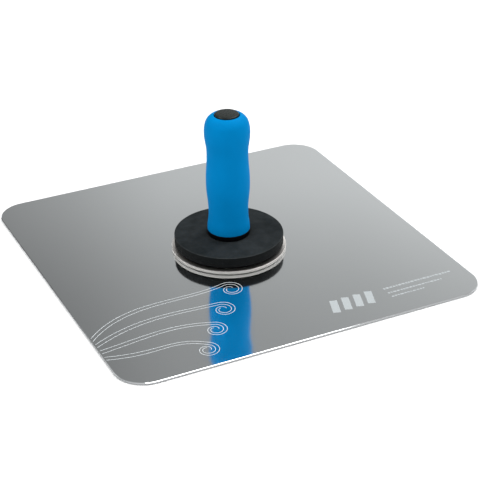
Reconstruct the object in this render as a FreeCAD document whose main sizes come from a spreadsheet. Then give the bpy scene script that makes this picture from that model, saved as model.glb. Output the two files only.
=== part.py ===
import FreeCAD, Part
import math
import os
import re
import Sketcher

# Plasterer's hawk. Working face down on z = 0, handle up along +Z, sides along X and Y. Millimetres, degrees.
# Heights of everything above the plate are measured from the plate's top face.
SIZES = {
    # square aluminium plate
    "plate_side": 330, "plate_thickness": 2, "plate_corner": 26, "plate_bevel": 0.35,
    # aluminium disc riveted to the plate
    "disc_diameter": 101.4, "disc_flange": 3.3, "disc_foot": 0.7, "disc_foot_width": 1.5, "disc_round": 0.4,
    "step_diameter": 68, "disc_height": 5.3,
    # countersunk rivets that hold the disc
    "rivet_count": 4, "rivet_circle": 52, "rivet_shank": 4, "rivet_head": 7.5, "rivet_play": 0.05,
    "rivet_cup": 8, "rivet_cup_depth": 1.8, "rivet_dome": 6.4, "rivet_dome_height": 1.4,
    # M10 countersunk stud and its thin nut
    "stud_diameter": 9.9, "stud_hole": 10.6, "stud_head": 20, "stud_sink": 0.1, "stud_tip": 34.3, "stud_bevel": 1,
    "socket_corner": 6.93, "socket_depth": 3, "thread_pitch": 1.5, "thread_depth": 0.8, "thread_foot": 6.2,
    "nut_across_flats": 16, "nut_height": 5, "nut_bore": 10, "nut_bevel": 0.7,
    # foam hand pad, with a shallow seat for the collar
    "pad_diameter": 96.6, "pad_base": 5.6, "pad_top": 15.1, "pad_bore": 30.12, "pad_round": 0.8, "pad_foot": 1,
    "seat_diameter": 38.8, "seat_height": 14.6,
    # black handle core: spigot, collar and hollow shank
    "spigot_diameter": 30, "spigot_base": 5.6, "foot_recess": 21.2, "foot_recess_top": 12,
    "collar_diameter": 37.6, "collar_base": 14.9, "collar_top": 19.2, "collar_round": 0.4,
    "shank_diameter": 25, "key_diameter": 27.4, "key_height": 4, "key_low": 45, "key_high": 86,
    "hollow_diameter": 17.6, "hollow_base": 40, "core_top": 124.6,
    # brass insert
    "insert_diameter": 16, "insert_bore": 10.06, "insert_top": 36, "insert_groove": 14.8,
    "insert_groove_height": 3, "insert_bevel": 0.6,
    # soft grip outline: radius and height of each waist and swell, then the two arcs over the head
    "flare_radius": 18.75, "waist_radius": 17.43, "waist_height": 36, "swell_radius": 19.17, "swell_height": 65,
    "neck_radius": 18.03, "neck_height": 92, "head_radius": 19.85, "head_height": 112.5,
    "head_arc": 30, "head_turn": 15, "crown_arc": 10.5, "rim_radius": 11.2,
    # end cap
    "cap_radius": 10.4, "cap_edge": 128.8, "cap_crown": 0.3, "cap_round": 0.8,
    "plug_radius": 8.75, "plug_base": 112, "plug_wall": 1.6, "plug_bevel": 0.5,
}

RIVET_TOP = "plate_thickness + disc_height - rivet_cup_depth"
HEAD_END_RADIUS = "head_radius - head_arc * (1 - cos(head_turn))"
HEAD_END_HEIGHT = "head_height + head_arc * sin(head_turn)"
CROWN_RADIUS = "(head_radius - head_arc + (head_arc - crown_arc) * cos(head_turn))"
CROWN_HEIGHT = "(head_height + (head_arc - crown_arc) * sin(head_turn))"
RIM_HEIGHT = f"{CROWN_HEIGHT} + sqrt(crown_arc ^ 2 - (rim_radius - {CROWN_RADIUS}) ^ 2)"

doc = FreeCAD.newDocument("PlasterersHawk")


def make_sheet():
    sheet = doc.addObject("Spreadsheet::Sheet", "Sizes")
    for row, (name, value) in enumerate(SIZES.items(), start=1):
        sheet.set(f"A{row}", str(value))
        sheet.setAlias(f"A{row}", name)
    doc.recompute()
    return sheet


sheet = make_sheet()


def formula(text):
    """Put the sheet's name in front of each size named in text."""
    return re.sub(r"[a-z]+(_[a-z]+)*", lambda word: "Sizes." + word[0] if word[0] in SIZES else word[0], str(text))


def value(text):
    return float(sheet.evalExpression(formula(text)))


def bind(feature, **sizes):
    for prop, text in sizes.items():
        feature.setExpression(prop, formula(text))


def make_body(name, lift="0"):
    body = doc.addObject("PartDesign::Body", name)
    body.Label = name
    body.setExpression("Placement.Base.z", formula(lift))
    return body


def make_sketch(body, role, name):
    plane = next(item for item in body.Origin.OriginFeatures if item.Role == role)
    sketch = body.newObject("Sketcher::SketchObject", name)
    sketch.AttachmentSupport = (plane, [""])
    sketch.MapMode = "FlatFace"
    return sketch


def place_point(sketch, geometry, point, x, y):
    for kind, text in (("DistanceX", x), ("DistanceY", y)):
        index = sketch.addConstraint(Sketcher.Constraint(kind, -1, 1, geometry, point, value(text)))
        sketch.setExpression(f"Constraints[{index}]", formula(text))


def arc_between(start, end, centre_y):
    """Short arc between two points whose centre has the given height; also the number of its point at start."""
    (x1, y1), (x2, y2) = start, end
    centre_x = (x2 ** 2 - x1 ** 2 + (y2 - centre_y) ** 2 - (y1 - centre_y) ** 2) / (2 * (x2 - x1))
    radius = math.hypot(x1 - centre_x, y1 - centre_y)
    angles = [math.atan2(y - centre_y, x - centre_x) for x, y in (start, end)]
    forward = math.sin(angles[1] - angles[0]) > 0
    if not forward:
        angles.reverse()
    circle = Part.Circle(FreeCAD.Vector(centre_x, centre_y, 0), FreeCAD.Vector(0, 0, 1), radius)
    return Part.ArcOfCircle(circle, *angles), 1 if forward else 2


def draw_outline(sketch, corners):
    """Closed outline. Each corner is (x, y), or (x, y, centre height) when an arc leaves it."""
    spots = [(value(corner[0]), value(corner[1])) for corner in corners]
    ends = []
    for index, corner in enumerate(corners):
        start, end = spots[index], spots[(index + 1) % len(spots)]
        if len(corner) == 3:
            edge, first = arc_between(start, end, value(corner[2]))
        else:
            edge, first = Part.LineSegment(FreeCAD.Vector(*start), FreeCAD.Vector(*end)), 1
        geometry = sketch.addGeometry(edge)
        ends.append((geometry, first, 3 - first))
        place_point(sketch, geometry, first, corner[0], corner[1])
    for index, (geometry, _, last) in enumerate(ends):
        following, first, _ = ends[(index + 1) % len(ends)]
        sketch.addConstraint(Sketcher.Constraint("Coincident", geometry, last, following, first))
    for (geometry, _, _), corner in zip(ends, corners):
        if len(corner) == 3:
            index = sketch.addConstraint(Sketcher.Constraint("DistanceY", -1, 1, geometry, 3, value(corner[2])))
            sketch.setExpression(f"Constraints[{index}]", formula(corner[2]))


def turn(body, kind, name, corners, centre=None):
    """Revolution or Groove of an outline about the Z axis, or about an upright line at x = centre."""
    sketch = make_sketch(body, "XZ_Plane", name + "Outline")
    axis = "V_Axis"
    if centre is not None:
        line = Part.LineSegment(FreeCAD.Vector(value(centre), 0), FreeCAD.Vector(value(centre), 10))
        geometry = sketch.addGeometry(line, True)
        place_point(sketch, geometry, 1, centre, "0")
        place_point(sketch, geometry, 2, centre, "10")
        axis = "Axis0"
    draw_outline(sketch, corners)
    feature = body.newObject("PartDesign::" + kind, name)
    feature.Profile = sketch
    feature.ReferenceAxis = (sketch, [axis])
    feature.Angle = 360
    sketch.Visibility = False
    doc.recompute()
    return feature


def repeat_round(body, feature, name, count):
    pattern = body.newObject("PartDesign::PolarPattern", name)
    pattern.Originals = [feature]
    pattern.Axis = (next(item for item in body.Origin.OriginFeatures if item.Role == "Z_Axis"), [""])
    pattern.Angle = 360
    body.Tip = pattern
    bind(pattern, Occurrences=count)
    doc.recompute()
    return pattern


def dress(body, kind, name, chosen, **sizes):
    """Fillet or Chamfer on the edges of the body's last feature that chosen() picks."""
    base = body.Tip
    edges = [f"Edge{number}" for number, edge in enumerate(base.Shape.Edges, start=1)
             if not edge.Degenerated and chosen(edge)]
    feature = body.newObject("PartDesign::" + kind, name)
    feature.Base = (base, edges)
    bind(feature, **sizes)
    doc.recompute()
    return feature


def ring_edge(radius, height):
    """Picks a full circle of this radius about the Z axis at this height."""
    def chosen(edge):
        curve = edge.Curve
        return (isinstance(curve, Part.Circle) and abs(curve.Radius - value(radius)) < 0.01
                and abs(curve.Center.z - value(height)) < 0.01 and math.hypot(curve.Center.x, curve.Center.y) < 0.01)
    return chosen


def hexagon(body, kind, name, corner_radius, height, base="0"):
    prism = body.newObject("PartDesign::" + kind, name)
    prism.Polygon = 6
    bind(prism, Circumradius=corner_radius, Height=height)
    prism.setExpression("AttachmentOffset.Base.z", formula(base))
    plane = next(item for item in body.Origin.OriginFeatures if item.Role == "XY_Plane")
    prism.AttachmentSupport = (plane, [""])
    prism.MapMode = "FlatFace"
    doc.recompute()
    return prism


def hawk_plate():
    body = make_body("hawk_plate")
    sketch = make_sketch(body, "XY_Plane", "PlateSquare")
    half = "plate_side / 2"
    draw_outline(sketch, [(f"-{half}", f"-{half}"), (half, f"-{half}"), (half, half), (f"-{half}", half)])
    slab = body.newObject("PartDesign::Pad", "PlateSlab")
    slab.Profile = sketch
    sketch.Visibility = False
    bind(slab, Length="plate_thickness")
    doc.recompute()
    dress(body, "Fillet", "PlateCorners", lambda edge: edge.BoundBox.ZLength > 1, Radius="plate_corner")
    dress(body, "Chamfer", "PlateBevel", lambda edge: edge.BoundBox.ZLength < 0.01, Size="plate_bevel")
    centre = "rivet_circle / 2"
    hole = turn(body, "Groove", "RivetSink", [
        (centre, "0"),
        (f"{centre} + rivet_head / 2", "0"),
        (f"{centre} + rivet_shank / 2 + rivet_play", "rivet_head / 2 - rivet_shank / 2 - rivet_play"),
        (f"{centre} + rivet_shank / 2 + rivet_play", "plate_thickness"),
        (centre, "plate_thickness"),
    ], centre)
    repeat_round(body, hole, "RivetSinks", "rivet_count")
    return body


def mounting_disc():
    body = make_body("mounting_disc", "plate_thickness")
    edge, step, top = "disc_diameter / 2", "step_diameter / 2", "disc_height"
    turn(body, "Revolution", "Disc", [
        ("0", "0"),
        (f"{edge} - disc_foot_width", "0"),
        (edge, "disc_foot"),
        (edge, "disc_flange"),
        (step, "disc_flange"),
        (step, top),
        ("0", top),
    ])
    dress(body, "Fillet", "DiscRim", ring_edge(edge, "disc_flange"), Radius="disc_round")
    turn(body, "Groove", "StudSeat", [
        ("0", "0"),
        ("stud_head / 2", "0"),
        ("stud_hole / 2", "stud_head / 2 - stud_hole / 2"),
        ("stud_hole / 2", top),
        ("0", top),
    ])
    centre = "rivet_circle / 2"
    shaft = f"{centre} + rivet_shank / 2 + rivet_play"
    hole = turn(body, "Groove", "RivetHole", [
        (centre, "0"),
        (shaft, "0"),
        (shaft, "disc_height - rivet_cup_depth"),
        (f"{centre} + rivet_cup / 2", "disc_height - rivet_cup_depth"),
        (f"{centre} + rivet_cup / 2", top),
        (centre, top),
    ], centre)
    repeat_round(body, hole, "RivetHoles", "rivet_count")
    return body


def plate_rivets():
    body = make_body("plate_rivets")
    body.AllowCompound = True
    centre = "rivet_circle / 2"
    rivet = turn(body, "Revolution", "Rivet", [
        (centre, "0"),
        (f"{centre} + rivet_head / 2", "0"),
        (f"{centre} + rivet_shank / 2", "rivet_head / 2 - rivet_shank / 2"),
        (f"{centre} + rivet_shank / 2", RIVET_TOP),
        (f"{centre} + rivet_dome / 2", RIVET_TOP),
        (f"{centre} + rivet_dome / 2", f"{RIVET_TOP} + rivet_dome_height / 2"),
        (f"{centre} + rivet_shank / 2", f"{RIVET_TOP} + rivet_dome_height"),
        (centre, f"{RIVET_TOP} + rivet_dome_height"),
    ], centre)
    repeat_round(body, rivet, "Rivets", "rivet_count")
    return body


def handle_stud():
    body = make_body("handle_stud", "plate_thickness")
    rim = "stud_head / 2 - stud_sink"
    turn(body, "Revolution", "Stud", [
        ("0", "stud_sink"),
        (rim, "stud_sink"),
        ("stud_diameter / 2", "stud_head / 2 - stud_diameter / 2"),
        ("stud_diameter / 2", "stud_tip - stud_bevel"),
        ("stud_diameter / 2 - stud_bevel", "stud_tip"),
        ("0", "stud_tip"),
    ])
    hexagon(body, "SubtractivePrism", "Socket", "socket_corner / 2", "socket_depth", "stud_sink")
    sketch = make_sketch(body, "XZ_Plane", "ThreadTooth")
    draw_outline(sketch, [
        ("stud_diameter / 2 - thread_depth", "thread_foot"),
        ("stud_diameter / 2 + 0.1", "thread_foot - 0.4 * thread_pitch"),
        ("stud_diameter / 2 + 0.1", "thread_foot + 0.4 * thread_pitch"),
    ])
    thread = body.newObject("PartDesign::SubtractiveHelix", "Thread")
    thread.Profile = sketch
    thread.ReferenceAxis = (sketch, ["V_Axis"])
    thread.Mode = "pitch-height-angle"
    sketch.Visibility = False
    bind(thread, Pitch="thread_pitch", Height="stud_tip - thread_foot + thread_pitch")
    doc.recompute()
    return body


def stud_nut():
    body = make_body("stud_nut", "plate_thickness + disc_height")
    corner = "nut_across_flats / 2 / cos(30)"
    flat = "nut_across_flats / 2 - 0.2"
    hexagon(body, "AdditivePrism", "Hexagon", corner, "nut_height")
    for name, face, slope in (("NutTop", "nut_height", "nut_height - nut_bevel"), ("NutFoot", "0", "nut_bevel")):
        turn(body, "Groove", name, [(flat, face), (f"{corner} + 1", face), (f"{corner} + 1", slope)])
    turn(body, "Groove", "NutBore", [("0", "0"), ("nut_bore / 2", "0"), ("nut_bore / 2", "nut_height"),
                                    ("0", "nut_height")])
    return body


def hand_pad():
    body = make_body("hand_pad", "plate_thickness")
    bore, seat, edge = "pad_bore / 2", "seat_diameter / 2", "pad_diameter / 2"
    turn(body, "Revolution", "Ring", [
        (bore, "pad_base"),
        (edge, "pad_base"),
        (edge, "pad_top"),
        (seat, "pad_top"),
        (seat, "seat_height"),
        (bore, "seat_height"),
    ])
    dress(body, "Fillet", "PadLip", ring_edge(edge, "pad_top"), Radius="pad_round")
    dress(body, "Fillet", "PadFoot", ring_edge(edge, "pad_base"), Radius="pad_foot")
    return body


def handle_core():
    body = make_body("handle_core", "plate_thickness")
    shank, key = "shank_diameter / 2", "key_diameter / 2"
    turn(body, "Revolution", "Core", [
        ("foot_recess / 2", "spigot_base"),
        ("spigot_diameter / 2", "spigot_base"),
        ("spigot_diameter / 2", "collar_base"),
        ("collar_diameter / 2", "collar_base"),
        ("collar_diameter / 2", "collar_top"),
        (shank, "collar_top"),
        (shank, "key_low"), (key, "key_low"), (key, "key_low + key_height"), (shank, "key_low + key_height"),
        (shank, "key_high"), (key, "key_high"), (key, "key_high + key_height"), (shank, "key_high + key_height"),
        (shank, "core_top"),
        ("hollow_diameter / 2", "core_top"),
        ("hollow_diameter / 2", "hollow_base"),
        ("0", "hollow_base"),
        ("0", "insert_top"),
        ("insert_diameter / 2", "insert_top"),
        ("insert_diameter / 2", "foot_recess_top"),
        ("foot_recess / 2", "foot_recess_top"),
    ])
    for name, height in (("CollarTop", "collar_top"), ("CollarFoot", "collar_base")):
        dress(body, "Fillet", name, ring_edge("collar_diameter / 2", height), Radius="collar_round")
    return body


def threaded_insert():
    body = make_body("threaded_insert", "plate_thickness")
    bore, edge, base, top = "insert_bore / 2", "insert_diameter / 2", "foot_recess_top", "insert_top"
    middle = f"({base} + {top}) / 2"
    turn(body, "Revolution", "Insert", [
        (f"{bore} + insert_bevel", base),
        (edge, base),
        (edge, f"{middle} - insert_groove_height / 2"),
        ("insert_groove / 2", f"{middle} - insert_groove_height / 2"),
        ("insert_groove / 2", f"{middle} + insert_groove_height / 2"),
        (edge, f"{middle} + insert_groove_height / 2"),
        (edge, top),
        (bore, top),
        (bore, f"{base} + insert_bevel"),
    ])
    return body


def grip_sleeve():
    body = make_body("grip_sleeve", "plate_thickness")
    shank, key = "shank_diameter / 2", "key_diameter / 2"
    turns = [("flare_radius", "collar_top"), ("waist_radius", "waist_height"), ("swell_radius", "swell_height"),
             ("neck_radius", "neck_height"), ("head_radius", "head_height")]
    outside = []
    for (radius, height), (next_radius, next_height) in zip(turns, turns[1:]):
        outside.append((radius, height, height))
        outside.append((f"({radius} + {next_radius}) / 2", f"({height} + {next_height}) / 2", next_height))
    outside += [
        ("head_radius", "head_height", "head_height"),
        (HEAD_END_RADIUS, HEAD_END_HEIGHT, CROWN_HEIGHT),
        ("rim_radius", RIM_HEIGHT),
        ("rim_radius", "core_top"),
    ]
    inside = [(shank, "core_top")]
    for low in ("key_high", "key_low"):
        inside += [(shank, f"{low} + key_height"), (key, f"{low} + key_height"), (key, low), (shank, low)]
    turn(body, "Revolution", "Grip", outside + inside + [(shank, "collar_top")])
    return body


def end_cap():
    body = make_body("end_cap", "plate_thickness")
    rise = "(cap_radius ^ 2 - cap_crown ^ 2) / (2 * cap_crown)"
    turn(body, "Revolution", "Cap", [
        ("0", "core_top"),
        ("cap_radius", "core_top"),
        ("cap_radius", "cap_edge", f"cap_edge - {rise}"),
        ("0", "cap_edge + cap_crown"),
    ])
    dress(body, "Fillet", "CapEdge", ring_edge("cap_radius", "cap_edge"), Radius="cap_round")
    turn(body, "Revolution", "Plug", [
        ("plug_radius - plug_wall", "plug_base"),
        ("plug_radius - plug_bevel", "plug_base"),
        ("plug_radius", "plug_base + plug_bevel"),
        ("plug_radius", "core_top"),
        ("plug_radius - plug_wall", "core_top"),
    ])
    return body


parts = [
    hawk_plate(), mounting_disc(), plate_rivets(), handle_stud(), stud_nut(), hand_pad(),
    handle_core(), threaded_insert(), grip_sleeve(), end_cap(),
]

doc.recompute()
for item in doc.Objects:
    if {"Invalid", "Error"} & set(item.State):
        raise RuntimeError(f"{item.Name} did not build: {item.State}")
os.makedirs("parts", exist_ok=True)
for part in parts:
    if part.Shape.isNull() or not part.Shape.isValid():
        raise RuntimeError(f"{part.Label} has no valid shape")
    part.Shape.exportStep(f"parts/{part.Label}.step")
    print(f"{part.Label}: {len(part.Shape.Solids)} solids, {part.Shape.Volume / 1000:.2f} cm3")
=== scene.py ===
"""Plasterer's hawk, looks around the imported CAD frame. Metres, row frame: working face down on z = 0."""
import math

import bpy
from mathutils import Matrix, Vector


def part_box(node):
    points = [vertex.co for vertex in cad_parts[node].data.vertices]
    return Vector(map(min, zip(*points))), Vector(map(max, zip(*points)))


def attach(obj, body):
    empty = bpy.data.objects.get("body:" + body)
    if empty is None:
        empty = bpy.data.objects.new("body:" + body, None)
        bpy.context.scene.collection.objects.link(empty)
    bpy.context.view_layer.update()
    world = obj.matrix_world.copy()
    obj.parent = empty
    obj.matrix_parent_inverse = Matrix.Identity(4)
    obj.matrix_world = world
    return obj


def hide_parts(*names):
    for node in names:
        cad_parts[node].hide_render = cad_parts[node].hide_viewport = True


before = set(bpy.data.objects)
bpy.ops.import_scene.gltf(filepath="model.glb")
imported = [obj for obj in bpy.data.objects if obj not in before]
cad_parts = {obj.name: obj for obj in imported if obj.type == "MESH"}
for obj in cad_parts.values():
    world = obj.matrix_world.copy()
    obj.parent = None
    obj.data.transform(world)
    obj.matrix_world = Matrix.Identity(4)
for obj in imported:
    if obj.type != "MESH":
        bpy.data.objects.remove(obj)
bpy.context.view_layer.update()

MM = 0.001

# ---- places and sizes, from the CAD nodes ----
pad_low, pad_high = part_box("hand_pad")
cap_low, cap_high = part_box("end_cap")
PLATE_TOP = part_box("hawk_plate")[1][2]
CORE_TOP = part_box("handle_core")[1][2]

ROUND_STEPS = 192
SHARP_FROM = math.radians(35)
ON_AXIS = 1e-7

# grip: radius and height above the plate's top at the foot, each waist and swell, and the head
GRIP_TURNS = [(radius * MM, PLATE_TOP + height * MM) for radius, height in (
    (18.75, 19.2), (17.43, 36), (19.17, 65), (18.03, 92), (19.85, 112.5))]
HEAD_ARC, HEAD_TURN, CROWN_ARC = 30 * MM, 15, 10.5 * MM
CAP_HOLE, RIM_ROUND, LIP_ROUND = 11.2 * MM, 0.35 * MM, 0.45 * MM
SHANK, KEY, KEY_HEIGHT = 12.5 * MM, 13.7 * MM, 4 * MM
KEYS = [PLATE_TOP + 45 * MM, PLATE_TOP + 86 * MM]

# end cap and its plug
PLUG, PLUG_WALL, PLUG_BEVEL = 8.75 * MM, 1.6 * MM, 0.5 * MM
CAP_ROUND, CAP_DOME = 0.8 * MM, 0.3 * MM

# foam pad
PAD_BORE, SEAT, SEAT_HEIGHT = 15.06 * MM, 19.4 * MM, PLATE_TOP + 14.6 * MM
PAD_FOOT, PAD_LIP, SEAT_LIP = 1.0 * MM, 0.8 * MM, 0.4 * MM
PAD_STEP, PAD_WANDER = 2.5 * MM, 0.05 * MM
PAD_TOP_BAND, PAD_SAG = 0.3 * MM, 0.04 * MM

# etched ornament
ETCH_WIDTH, ETCH_DEPTH, ETCH_HEIGHT = 0.4 * MM, 0.1 * MM, 0.02 * MM
SCROLLS, SCROLL_STEPS, SCROLL_GAP = 4, 40, 3.4 * MM
BARS, BARS_PLACE = 4, (31 * MM, -141 * MM)
BAR_STEP, BAR_SLANT, BAR_HEIGHT, BAR_WIDTH = 11 * MM, 6 * MM, 18 * MM, 6.5 * MM
# rows of dashes beside the bars: height above the bars' foot, length of the row, and width of its dashes
DASH_ROWS = ((15 * MM, 64 * MM, 2.2 * MM), (7.5 * MM, 52 * MM, 1.8 * MM), (1.5 * MM, 32 * MM, 1.6 * MM))
DASH_START, DASH_GAP = 53 * MM, 0.9 * MM


# ---- node helpers ----
class Nodes:
    """A material's node tree with short calls for what the materials below share."""

    def __init__(self, name):
        self.material = bpy.data.materials.new(name)
        self.material.use_nodes = True
        self.tree = self.material.node_tree
        self.shader = self.tree.nodes["Principled BSDF"]
        self.place = self.add("ShaderNodeTexCoord").outputs["Object"]

    def add(self, kind, **settings):
        node = self.tree.nodes.new(kind)
        for key, value in settings.items():
            setattr(node, key, value)
        return node

    def link(self, start, end):
        self.tree.links.new(start, end)

    def stretched(self, x, y, z):
        """Object coordinates in units of 1/x, 1/y and 1/z metres."""
        mapping = self.add("ShaderNodeMapping")
        mapping.inputs["Scale"].default_value = (x, y, z)
        self.link(self.place, mapping.inputs["Vector"])
        return mapping.outputs["Vector"]

    def turned(self):
        """Distance from the Z axis, and height, as a vector."""
        flat = self.add("ShaderNodeVectorMath", operation="LENGTH")
        self.link(self.stretched(1, 1, 0), flat.inputs[0])
        join = self.add("ShaderNodeCombineXYZ")
        self.link(flat.outputs["Value"], join.inputs["X"])
        self.link(self.height(self.place), join.inputs["Z"])
        return join.outputs[0]

    def noise(self, vector, scale=1.0, detail=3.0, roughness=0.5):
        node = self.add("ShaderNodeTexNoise")
        node.inputs["Scale"].default_value = scale
        node.inputs["Detail"].default_value = detail
        node.inputs["Roughness"].default_value = roughness
        self.link(vector, node.inputs["Vector"])
        return node.outputs["Fac"]

    def cells(self, vector, scale=1.0, feature="F1"):
        node = self.add("ShaderNodeTexVoronoi", feature=feature)
        node.inputs["Scale"].default_value = scale
        self.link(vector, node.inputs["Vector"])
        return node.outputs["Distance"]

    def spread(self, value, low, high, from_low=0.0, from_high=1.0):
        node = self.add("ShaderNodeMapRange")
        limits = {"From Min": from_low, "From Max": from_high, "To Min": low, "To Max": high}
        for key, number in limits.items():
            node.inputs[key].default_value = number
        self.link(value, node.inputs["Value"])
        return node.outputs["Result"]

    def mix(self, factor, first, second):
        node = self.add("ShaderNodeMix", data_type="RGBA")
        self.link(factor, node.inputs[0])
        for socket, source in ((node.inputs[6], first), (node.inputs[7], second)):
            if isinstance(source, bpy.types.NodeSocket):
                self.link(source, socket)
            else:
                socket.default_value = (*source, 1)
        return node.outputs[2]

    def height(self, value):
        node = self.add("ShaderNodeSeparateXYZ")
        self.link(value, node.inputs[0])
        return node.outputs["Z"]

    def relief(self, *layers):
        """Stack of bumps. Each layer is (height value, depth in metres)."""
        normal = None
        for value, depth in layers:
            node = self.add("ShaderNodeBump")
            node.inputs["Distance"].default_value = depth
            node.inputs["Strength"].default_value = 1.0
            self.link(value, node.inputs["Height"])
            if normal is not None:
                self.link(normal, node.inputs["Normal"])
            normal = node.outputs["Normal"]
        self.link(normal, self.shader.inputs["Normal"])

    def finish(self, colour=None, roughness=None, **plain):
        """Link the colour and roughness, and set the plain numbers on the shader's own sockets."""
        if colour is not None:
            self.link(colour, self.shader.inputs["Base Color"])
        if roughness is not None:
            self.link(roughness, self.shader.inputs["Roughness"])
        for key, number in plain.items():
            self.shader.inputs[key.replace("_", " ")].default_value = number
        return self.material


# ---- materials ----
def plate_aluminium():
    """Rolled sheet, almost a mirror, with a faint grain along Y and slow clouding; its upright cut edge is
    painted darker, partly its sheared finish and partly painted shade along the plate's edge.
    """
    n = Nodes("plate_aluminium")
    grain = n.noise(n.stretched(900, 14, 900), detail=2)
    clouds = n.noise(n.stretched(9, 7, 9), detail=2)
    shear = n.noise(n.stretched(500, 500, 5000), detail=2)
    sheet = n.mix(n.spread(clouds, 0.2, 0.8), (0.85, 0.875, 0.885), (0.90, 0.92, 0.925))
    # Painted shade: the upright cut edge (the side mask, from the normal) is darker than the sheet, partly
    # its sheared finish and partly shade along the plate's edge.
    cut = n.mix(shear, (0.30, 0.31, 0.32), (0.48, 0.49, 0.50))
    side = n.spread(n.height(n.add("ShaderNodeNewGeometry").outputs["Normal"]), 1.0, 0.0, 0.1, 0.4)
    rough = n.add("ShaderNodeMath", operation="ADD")
    n.link(n.spread(grain, -0.01, 0.02), rough.inputs[0])
    n.link(n.spread(clouds, 0.07, 0.09), rough.inputs[1])
    n.relief((grain, 0.0000006))
    return n.finish(n.mix(side, sheet, cut), rough.outputs[0], Metallic=1.0)


def turned_aluminium():
    """Fine rings round Z left by the lathe, which draw the highlights out across them."""
    n = Nodes("turned_aluminium")
    rings = n.noise(n.turned(), scale=700, detail=3)
    marks = n.noise(n.stretched(60, 60, 200), detail=3)
    colour = n.mix(n.spread(marks, 0.1, 0.9), (0.62, 0.60, 0.58), (0.74, 0.715, 0.69))
    tangent = n.add("ShaderNodeTangent", direction_type="RADIAL", axis="Z")
    n.link(tangent.outputs[0], n.shader.inputs["Tangent"])
    n.relief((rings, 0.00001))
    return n.finish(colour, n.spread(rings, 0.54, 0.64), Metallic=1.0, Anisotropic=0.8)


def plain_metal(name, dark, light, rough_low, rough_high):
    n = Nodes(name)
    marks = n.noise(n.stretched(420, 420, 420), detail=4)
    n.relief((marks, 0.000008))
    colour = n.mix(n.spread(marks, 0.1, 0.9), dark, light)
    return n.finish(colour, n.spread(marks, rough_low, rough_high), Metallic=1.0)


def pad_foam():
    """Closed-cell foam: skin of fine cells, the faces that look up painted paler and mottled as painted top
    light, and a painted highlight on the rounded lip.
    """
    n = Nodes("pad_foam")
    cells = n.cells(n.stretched(1500, 1500, 1500))
    lumps = n.noise(n.stretched(160, 160, 160), detail=3)
    clouds = n.noise(n.stretched(70, 70, 70), detail=7, roughness=0.65)
    skin = n.mix(clouds, (0.003, 0.004, 0.0045), (0.0055, 0.0065, 0.007))
    # Painted top light: the faces that look up are painted paler than the side, mottled by the clouds.
    painted_top_light = n.mix(n.spread(clouds, 0.0, 1.0, 0.34, 0.68), (0.0085, 0.0115, 0.0125), (0.0225, 0.0265, 0.0285))
    # Painted highlight: the rounded lip between side and top is painted paler, mottled by the lumps.
    painted_lip_highlight = n.mix(n.spread(lumps, 0.0, 1.0, 0.3, 0.7), (0.018, 0.022, 0.023), (0.046, 0.051, 0.053))
    facing = n.height(n.add("ShaderNodeNewGeometry").outputs["Normal"])
    # The lip's band of normals takes the painted highlight, and the faces that look up take the painted top
    # light.
    colour = n.mix(n.spread(facing, 0.0, 1.0, 0.05, 0.4), skin, painted_lip_highlight)
    colour = n.mix(n.spread(facing, 0.0, 1.0, 0.75, 0.97), colour, painted_top_light)
    n.relief((cells, 0.00005), (lumps, 0.00009))
    return n.finish(colour, n.spread(lumps, 0.6, 0.8), Specular_IOR_Level=0.1)


def moulded_plastic(name, dark, light, rough_low, rough_high, shine):
    """Spark-eroded mould texture."""
    n = Nodes(name)
    spark = n.noise(n.stretched(1400, 1400, 1400), detail=2)
    drift = n.noise(n.stretched(70, 70, 70), detail=2)
    colour = n.mix(n.spread(drift, 0.1, 0.9), dark, light)
    n.relief((spark, 0.00002))
    return n.finish(colour, n.spread(spark, rough_low, rough_high), Specular_IOR_Level=shine)


def grip_rubber():
    """Soft overmoulded rubber with a fine matt grain."""
    n = Nodes("grip_rubber")
    grain = n.noise(n.stretched(1600, 1600, 1600), detail=2)
    drift = n.noise(n.stretched(40, 40, 25), detail=3)
    colour = n.mix(n.spread(drift, 0.1, 0.9), (0.0, 0.197, 0.49), (0.0, 0.221, 0.545))
    n.relief((grain, 0.00002))
    return n.finish(colour, n.spread(grain, 0.5, 0.66), Specular_IOR_Level=0.015)


def etched(name, dark, light):
    """Frost of the marks etched in the plate."""
    n = Nodes(name)
    frost = n.noise(n.stretched(2500, 2500, 2500), detail=2)
    n.relief((frost, 0.00001))
    return n.finish(n.mix(frost, dark, light), n.spread(frost, 0.5, 0.7), Specular_IOR_Level=0.2)


def floor_white():
    n = Nodes("floor_white")
    clouds = n.noise(n.stretched(2, 2, 2), detail=2)
    return n.finish(n.mix(clouds, (0.94, 0.94, 0.94), (0.96, 0.96, 0.96)), Roughness=0.9)


# ---- mesh helpers ----
def mesh_object(name, vertices, faces, material, smooth=True):
    mesh = bpy.data.meshes.new(name)
    mesh.from_pydata(vertices, [], faces)
    mesh.validate()
    mesh.materials.append(material)
    piece = bpy.data.objects.new(name, mesh)
    bpy.context.scene.collection.objects.link(piece)
    if smooth:
        mesh.shade_smooth()
    return piece


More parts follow.
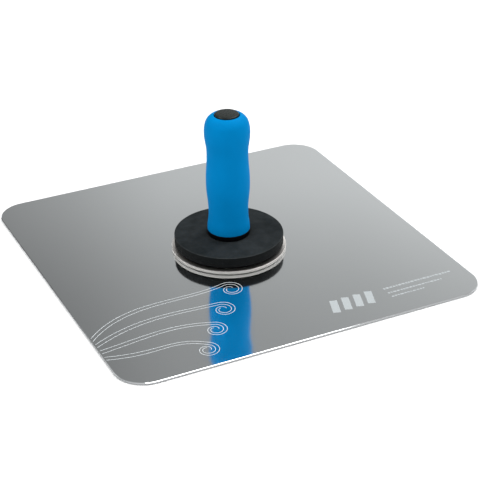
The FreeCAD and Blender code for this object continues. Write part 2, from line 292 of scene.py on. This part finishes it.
def lathe(name, outline, material):
    """Solid of revolution about Z. The outline is a list of (radius, height) in metres, anticlockwise."""
    vertices, rings = [], []
    for radius, height in outline:
        if radius < ON_AXIS:
            rings.append([len(vertices)])
            vertices.append((0.0, 0.0, height))
            continue
        rings.append(list(range(len(vertices), len(vertices) + ROUND_STEPS)))
        for step in range(ROUND_STEPS):
            angle = math.tau * step / ROUND_STEPS
            vertices.append((radius * math.cos(angle), radius * math.sin(angle), height))
    faces = []
    for low, high in zip(rings, rings[1:] + rings[:1]):
        for step in range(ROUND_STEPS):
            following = (step + 1) % ROUND_STEPS
            if len(low) > 1 and len(high) > 1:
                faces.append((low[step], low[following], high[following], high[step]))
            elif len(low) > 1:
                faces.append((low[step], low[following], high[0]))
            elif len(high) > 1:
                faces.append((low[0], high[following], high[step]))
    piece = mesh_object(name, vertices, faces, material)
    piece.data.set_sharp_from_angle(angle=SHARP_FROM)
    return piece


def arc(centre, radius, start, end, steps=12):
    """Points of an arc in the outline plane, angles in degrees from the radius axis."""
    points = []
    for step in range(steps + 1):
        angle = math.radians(start + (end - start) * step / steps)
        points.append((centre[0] + radius * math.cos(angle), centre[1] + radius * math.sin(angle)))
    return points


def dress(node, material):
    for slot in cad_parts[node].material_slots:
        slot.material = material


# ---- pieces ----
def grip_outline():
    """Outside of the grip from the collar to the cap's hole: four S-bends, then two arcs over the head."""
    points = []
    for (radius, height), (next_radius, next_height) in zip(GRIP_TURNS, GRIP_TURNS[1:]):
        points += s_bend(radius, height, next_radius, next_height)
    radius, height = GRIP_TURNS[-1]
    points += arc((radius - HEAD_ARC, height), HEAD_ARC, 0, HEAD_TURN)[1:]
    turn = math.radians(HEAD_TURN)
    centre = (radius - HEAD_ARC + (HEAD_ARC - CROWN_ARC) * math.cos(turn),
              height + (HEAD_ARC - CROWN_ARC) * math.sin(turn))
    last = math.degrees(math.acos((CAP_HOLE + RIM_ROUND - centre[0]) / CROWN_ARC))
    points += arc(centre, CROWN_ARC, HEAD_TURN, last)[1:]
    return points


def s_bend(radius, height, next_radius, next_height, steps=14):
    """Two equal arcs that leave one point upright and reach the next one upright."""
    rise, reach = next_height - height, next_radius - radius
    bend = (rise ** 2 + reach ** 2) / (4 * abs(reach))
    side = math.copysign(1, reach)
    points = []
    for step in range(steps):
        level = rise * step / steps
        start_half = level <= rise / 2
        offset = level if start_half else rise - level
        sweep = side * (bend - math.sqrt(bend ** 2 - offset ** 2))
        points.append((radius + sweep if start_half else next_radius - sweep, height + level))
    return points


def soft_grip():
    """Overmoulded grip, grooved inside for the core's two keying rings."""
    outside = grip_outline()
    foot, rim = GRIP_TURNS[0], outside[-1]
    outline = [(SHANK, foot[1])]
    outline += arc((foot[0] - LIP_ROUND, foot[1] + LIP_ROUND), LIP_ROUND, -90, 0, 6)
    outline += [point for point in outside if point[1] > foot[1] + LIP_ROUND]
    outline += arc((CAP_HOLE + RIM_ROUND, rim[1] - RIM_ROUND), RIM_ROUND, 90, 180, 6)[1:]
    outline += [(CAP_HOLE, CORE_TOP), (SHANK, CORE_TOP)]
    for low in reversed(KEYS):
        outline += [(SHANK, low + KEY_HEIGHT), (KEY, low + KEY_HEIGHT), (KEY, low), (SHANK, low)]
    piece = lathe("soft_grip", outline, grip_rubber())
    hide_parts("grip_sleeve")
    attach(piece, "handle")


def grip_cap():
    """Moulded cap with a slightly domed top, on its hollow plug."""
    edge, top = cap_high[0], cap_high[2]
    outline = [
        (0.0, CORE_TOP),
        (PLUG - PLUG_WALL, CORE_TOP),
        (PLUG - PLUG_WALL, cap_low[2]),
        (PLUG - PLUG_BEVEL, cap_low[2]),
        (PLUG, cap_low[2] + PLUG_BEVEL),
        (PLUG, CORE_TOP),
        (edge, CORE_TOP),
    ]
    outline += arc((edge - CAP_ROUND, top - CAP_DOME - CAP_ROUND), CAP_ROUND, 0, 80, 6)
    outline += [(edge * share, top - CAP_DOME * share ** 2) for share in (0.88, 0.8, 0.6, 0.4, 0.2)]
    outline += [(0.0, top)]
    plastic = moulded_plastic("cap_plastic", (0.005, 0.008, 0.0065), (0.009, 0.013, 0.0105), 0.22, 0.34, 0.3)
    piece = lathe("grip_cap", outline, plastic)
    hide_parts("end_cap")
    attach(piece, "handle")


def foam_pad():
    """Die-cut foam ring. Its lip is soft, its edge wanders slightly, and its top dips a little."""
    edge, low, top = pad_high[0], pad_low[2], pad_high[2]
    outline = [(PAD_BORE, low)]
    outline += arc((edge - PAD_FOOT, low + PAD_FOOT), PAD_FOOT, -90, 0, 8)
    outline += [(edge, (low + top) / 2)]
    outline += arc((edge - PAD_LIP, top - PAD_LIP), PAD_LIP, 0, 90, 8)
    outline += arc((SEAT + SEAT_LIP, top - SEAT_LIP), SEAT_LIP, 90, 180, 6)
    outline += [(SEAT, SEAT_HEIGHT), (PAD_BORE, SEAT_HEIGHT)]
    piece = lathe("foam_pad", subdivided(outline, PAD_STEP), pad_foam())
    for vertex in piece.data.vertices:
        angle, reach = math.atan2(vertex.co.y, vertex.co.x), math.hypot(vertex.co.x, vertex.co.y)
        share = max(0.0, (reach - SEAT) / (edge - SEAT))
        wander = math.sin(3 * angle + 0.6) + 0.6 * math.sin(7 * angle + 2.1) + 0.4 * math.sin(16 * angle)
        shrink = 1 - share ** 2 * (1.6 + wander) * PAD_WANDER / edge
        vertex.co.x *= shrink
        vertex.co.y *= shrink
        if vertex.co.z > top - PAD_TOP_BAND:
            vertex.co.z -= PAD_SAG * (1 + math.sin(5 * angle + 40 * reach / edge))
    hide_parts("hand_pad")
    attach(piece, "pad")


def subdivided(outline, step):
    """The outline with its long straight stretches cut into steps."""
    points = []
    for start, end in zip(outline, outline[1:] + outline[:1]):
        count = max(1, round(math.dist(start, end) / step))
        for index in range(count):
            share = index / count
            points.append((start[0] + (end[0] - start[0]) * share, start[1] + (end[1] - start[1]) * share))
    return points


# ---- etched ornament: closed strips let into the plate's top face ----
class Etching:
    """One piece made of closed strips, each a little proud of the plate and sunk a little into it."""

    def __init__(self, name):
        self.name, self.vertices, self.faces = name, [], []

    def line(self, points, width):
        """Strip of even width along points (x, y) on the plate."""
        first = len(self.vertices)
        for index, (x, y) in enumerate(points):
            before, after = points[max(index - 1, 0)], points[min(index + 1, len(points) - 1)]
            dx, dy = after[0] - before[0], after[1] - before[1]
            length = math.hypot(dx, dy)
            nx, ny = -dy / length * width / 2, dx / length * width / 2
            for side in (1, -1):
                for z in (PLATE_TOP - ETCH_DEPTH, PLATE_TOP + ETCH_HEIGHT):
                    self.vertices.append((x + side * nx, y + side * ny, z))
        for index in range(len(points) - 1):
            a, b = first + 4 * index, first + 4 * index + 4
            self.faces += [(a + 1, a + 3, b + 3, b + 1), (a, b, b + 2, a + 2),
                           (a, a + 1, b + 1, b), (a + 2, b + 2, b + 3, a + 3)]
        last = first + 4 * (len(points) - 1)
        self.faces += [(first, first + 2, first + 3, first + 1), (last, last + 1, last + 3, last + 2)]

    def place(self, material):
        piece = mesh_object(self.name, self.vertices, self.faces, material, smooth=False)
        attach(piece, "hawk")


def etched_scrolls(material):
    """Sheaf of double lines flowing from the plate's left edge, each pair ending in a curl."""
    etching = Etching("etched_scrolls")
    for scroll in range(SCROLLS):
        share = scroll / (SCROLLS - 1)
        turn = math.radians(16 - 58 * share)
        ahead = Vector((math.cos(turn), math.sin(turn)))
        down = Vector((ahead.y, -ahead.x))
        curl = (12 - 1.5 * share) * MM
        middle = Vector((-34 - 46 * share, -56 - 79 * share)) * MM + down * curl
        for inner in (0, 1):
            radius = curl - SCROLL_GAP * inner
            start = Vector((-163.5, -86 - 30 * share - 4.6 * inner)) * MM
            leaving = start + Vector((44, 42 - 56 * share)) * MM
            end = middle - down * radius
            arriving = end - ahead * (42 - 8 * share) * MM
            sweep, shrink = (1.2 - 0.28 * inner) * math.tau, 0.72 - 0.1 * inner
            points = cubic(start, leaving, arriving, end)
            points += spiral(middle, radius, turn + math.pi / 2, sweep, shrink)
            etching.line(points, ETCH_WIDTH)
    etching.place(material)


def cubic(start, first, second, end):
    """Points of a Bezier curve, without its end."""
    points = []
    for step in range(SCROLL_STEPS):
        along = step / SCROLL_STEPS
        back = 1 - along
        points.append(start * back ** 3 + first * 3 * back ** 2 * along + second * 3 * back * along ** 2
                      + end * along ** 3)
    return points


def spiral(middle, radius, angle, sweep, shrink):
    """Points of a clockwise spiral from the given angle, closing in by the given share of its radius."""
    points = []
    for step in range(SCROLL_STEPS + 1):
        along = step / SCROLL_STEPS
        reach = radius * (1 - shrink * along ** 1.1)
        now = angle - sweep * along
        points.append(middle + Vector((math.cos(now), math.sin(now))) * reach)
    return points


def etched_bars(material):
    """Slanted bars and rows of short dashes beside them, near the plate's front right corner."""
    etching = Etching("etched_bars")
    left, foot = BARS_PLACE
    for bar in range(BARS):
        x = left + bar * BAR_STEP
        etching.line([(x, foot), (x + BAR_SLANT, foot + BAR_HEIGHT)], BAR_WIDTH)
    for row, (offset, length, width) in enumerate(DASH_ROWS):
        x, step = left + DASH_START, 0
        while x < left + DASH_START + length:
            dash = (1.4 + 0.5 * ((step * 3 + row) % 4)) * MM
            etching.line([(x, foot + offset), (x + dash, foot + offset)], width)
            x += dash + DASH_GAP
            step += 1
    etching.place(material)


dress("hawk_plate", plate_aluminium())
dress("mounting_disc", turned_aluminium())
dress("plate_rivets", plain_metal("rivet_aluminium", (0.5, 0.51, 0.52), (0.62, 0.63, 0.64), 0.25, 0.4))
dress("handle_stud", plain_metal("stud_steel", (0.38, 0.39, 0.4), (0.55, 0.56, 0.57), 0.2, 0.4))
dress("stud_nut", plain_metal("nut_steel", (0.38, 0.39, 0.4), (0.55, 0.56, 0.57), 0.25, 0.45))
dress("threaded_insert", plain_metal("insert_brass", (0.55, 0.38, 0.12), (0.75, 0.56, 0.24), 0.2, 0.35))
dress("handle_core", moulded_plastic("core_plastic", (0.001, 0.001, 0.002), (0.002, 0.002, 0.003),
                                     0.35, 0.5, 0.08))
soft_grip()
grip_cap()
foam_pad()
etched_scrolls(etched("etched_line", (0.66, 0.70, 0.72), (0.80, 0.84, 0.86)))
etched_bars(etched("etched_block", (0.36, 0.39, 0.40), (0.50, 0.53, 0.54)))


# ---- floor, light and camera ----
FLOOR_HALF, FLOOR_DROP = 12.0, 0.2 * MM

# area lamps: name, place, size in metres, and power in watts
LAMPS = (
    ("key_light", (-1.0, 0.35, 1.35), (0.6, 0.6), 12),
    ("front_light", (0.14, -1.14, 1.52), (1.4, 0.6), 10),
    ("top_light", (1.05, 0.28, 1.6), (1.0, 1.0), 19))
LAMP_AIM = (0, 0, 0.04)


def floor():
    """Pale floor just under the plate, so that the two don't lie in one plane."""
    half = FLOOR_HALF
    corners = [(-half, -half, 0), (half, -half, 0), (half, half, 0), (-half, half, 0)]
    piece = mesh_object("floor", corners, [(0, 1, 2, 3)], floor_white(), smooth=False)
    piece.location.z = -FLOOR_DROP


def soft_light(name, place, size, power):
    data = bpy.data.lights.new(name, "AREA")
    data.shape = "RECTANGLE"
    data.size, data.size_y = size
    data.energy = power
    lamp = bpy.data.objects.new(name, data)
    lamp.location = place
    lamp.rotation_euler = (Vector(LAMP_AIM) - Vector(place)).to_track_quat("-Z", "Y").to_euler()
    bpy.context.scene.collection.objects.link(lamp)


# world light: its tint; grey level round the compass, in degrees clockwise from +Y; factor by height above
# the horizon, as the sine of the elevation; and the even level overhead with the heights it comes in between
WORLD_TINT = (0.985, 1.0, 1.003)
WORLD_ROUND = (
    (-180, 0.5), (-154, 0.45), (-125, 0.42), (-90, 0.45), (-60, 0.5), (-45, 0.55), (-35.5, 0.55),
    (-32.5, 0.06), (-12, 0.07), (2, 0.13), (14, 0.213), (18, 0.30), (22, 0.425), (31, 0.49), (37, 0.575),
    (60, 0.62), (100, 0.6), (150, 0.55), (180, 0.5))
WORLD_RISE = (
    (0.0, 0.9), (0.3, 1.1), (0.42, 1.33), (0.45, 1.26), (0.48, 1.0), (0.51, 0.8), (0.54, 0.70),
    (0.62, 0.6), (1.0, 0.6))
OVERHEAD, OVERHEAD_FROM, OVERHEAD_TO = 0.6, 0.62, 0.85


def studio_walls():
    """World light: dark behind the object and to the left of that, brighter to the right, brightest about 25
    degrees above the horizon, and even overhead."""
    world = bpy.data.worlds.new("studio")
    bpy.context.scene.world = world
    world.use_nodes = True
    tree = world.node_tree
    direction = tree.nodes.new("ShaderNodeTexCoord").outputs["Generated"]
    split = tree.nodes.new("ShaderNodeSeparateXYZ")
    tree.links.new(direction, split.inputs[0])

    def ramp(value, stops, tint):
        node = tree.nodes.new("ShaderNodeValToRGB")
        while len(node.color_ramp.elements) < len(stops):
            node.color_ramp.elements.new(0.5)
        for element, (place, level) in zip(node.color_ramp.elements, stops):
            element.position = place
            element.color = (*(level * share for share in tint), 1)
        tree.links.new(value, node.inputs["Fac"])
        return node.outputs["Color"]

    compass = tree.nodes.new("ShaderNodeTexGradient")
    compass.gradient_type = "RADIAL"
    turned = tree.nodes.new("ShaderNodeVectorRotate")
    turned.rotation_type = "Z_AXIS"
    turned.inputs["Angle"].default_value = -math.pi / 2
    tree.links.new(direction, turned.inputs["Vector"])
    tree.links.new(turned.outputs[0], compass.inputs["Vector"])
    round_stops = sorted((0.5 - degrees / 360, level) for degrees, level in WORLD_ROUND)
    product = tree.nodes.new("ShaderNodeVectorMath")
    product.operation = "MULTIPLY"
    tree.links.new(ramp(compass.outputs["Fac"], round_stops, WORLD_TINT), product.inputs[0])
    tree.links.new(ramp(split.outputs["Z"], WORLD_RISE, (1, 1, 1)), product.inputs[1])
    above = tree.nodes.new("ShaderNodeMapRange")
    above.inputs["From Min"].default_value = OVERHEAD_FROM
    above.inputs["From Max"].default_value = OVERHEAD_TO
    tree.links.new(split.outputs["Z"], above.inputs["Value"])
    blend = tree.nodes.new("ShaderNodeMix")
    blend.data_type = "RGBA"
    tree.links.new(above.outputs["Result"], blend.inputs[0])
    tree.links.new(product.outputs[0], blend.inputs[6])
    blend.inputs[7].default_value = (*(OVERHEAD * share for share in WORLD_TINT), 1)
    tree.links.new(blend.outputs[2], tree.nodes["Background"].inputs["Color"])


# camera: angles in degrees, distance and shift in metres, lens in millimetres
CAMERA = {"azimuth": -25.85, "elevation": 29.26, "roll": -0.64, "distance": 1.272,
          "right": 0.01508, "up": -0.00104, "lens": 103.97}


def camera():
    data = bpy.data.cameras.new("camera")
    data.lens = CAMERA["lens"]
    data.clip_start, data.clip_end = 0.05, 50
    eye = bpy.data.objects.new("camera", data)
    bpy.context.scene.collection.objects.link(eye)
    azimuth, elevation, roll = (math.radians(CAMERA[key]) for key in ("azimuth", "elevation", "roll"))
    back = Vector((math.sin(azimuth) * math.cos(elevation), -math.cos(azimuth) * math.cos(elevation),
                   math.sin(elevation)))
    right = Vector((0, 0, 1)).cross(back).normalized()
    up = back.cross(right)
    tilted_right = right * math.cos(roll) + up * math.sin(roll)
    tilted_up = up * math.cos(roll) - right * math.sin(roll)
    place = (back * CAMERA["distance"] + tilted_right * CAMERA["right"] + tilted_up * CAMERA["up"]
             + Vector((0, 0, PLATE_TOP)))
    turn = Matrix((tilted_right, tilted_up, back)).transposed().to_4x4()
    eye.matrix_world = Matrix.Translation(place) @ turn
    bpy.context.scene.camera = eye


floor()
studio_walls()
for lamp_settings in LAMPS:
    soft_light(*lamp_settings)
camera()
bpy.context.scene.view_settings.view_transform = "Standard"
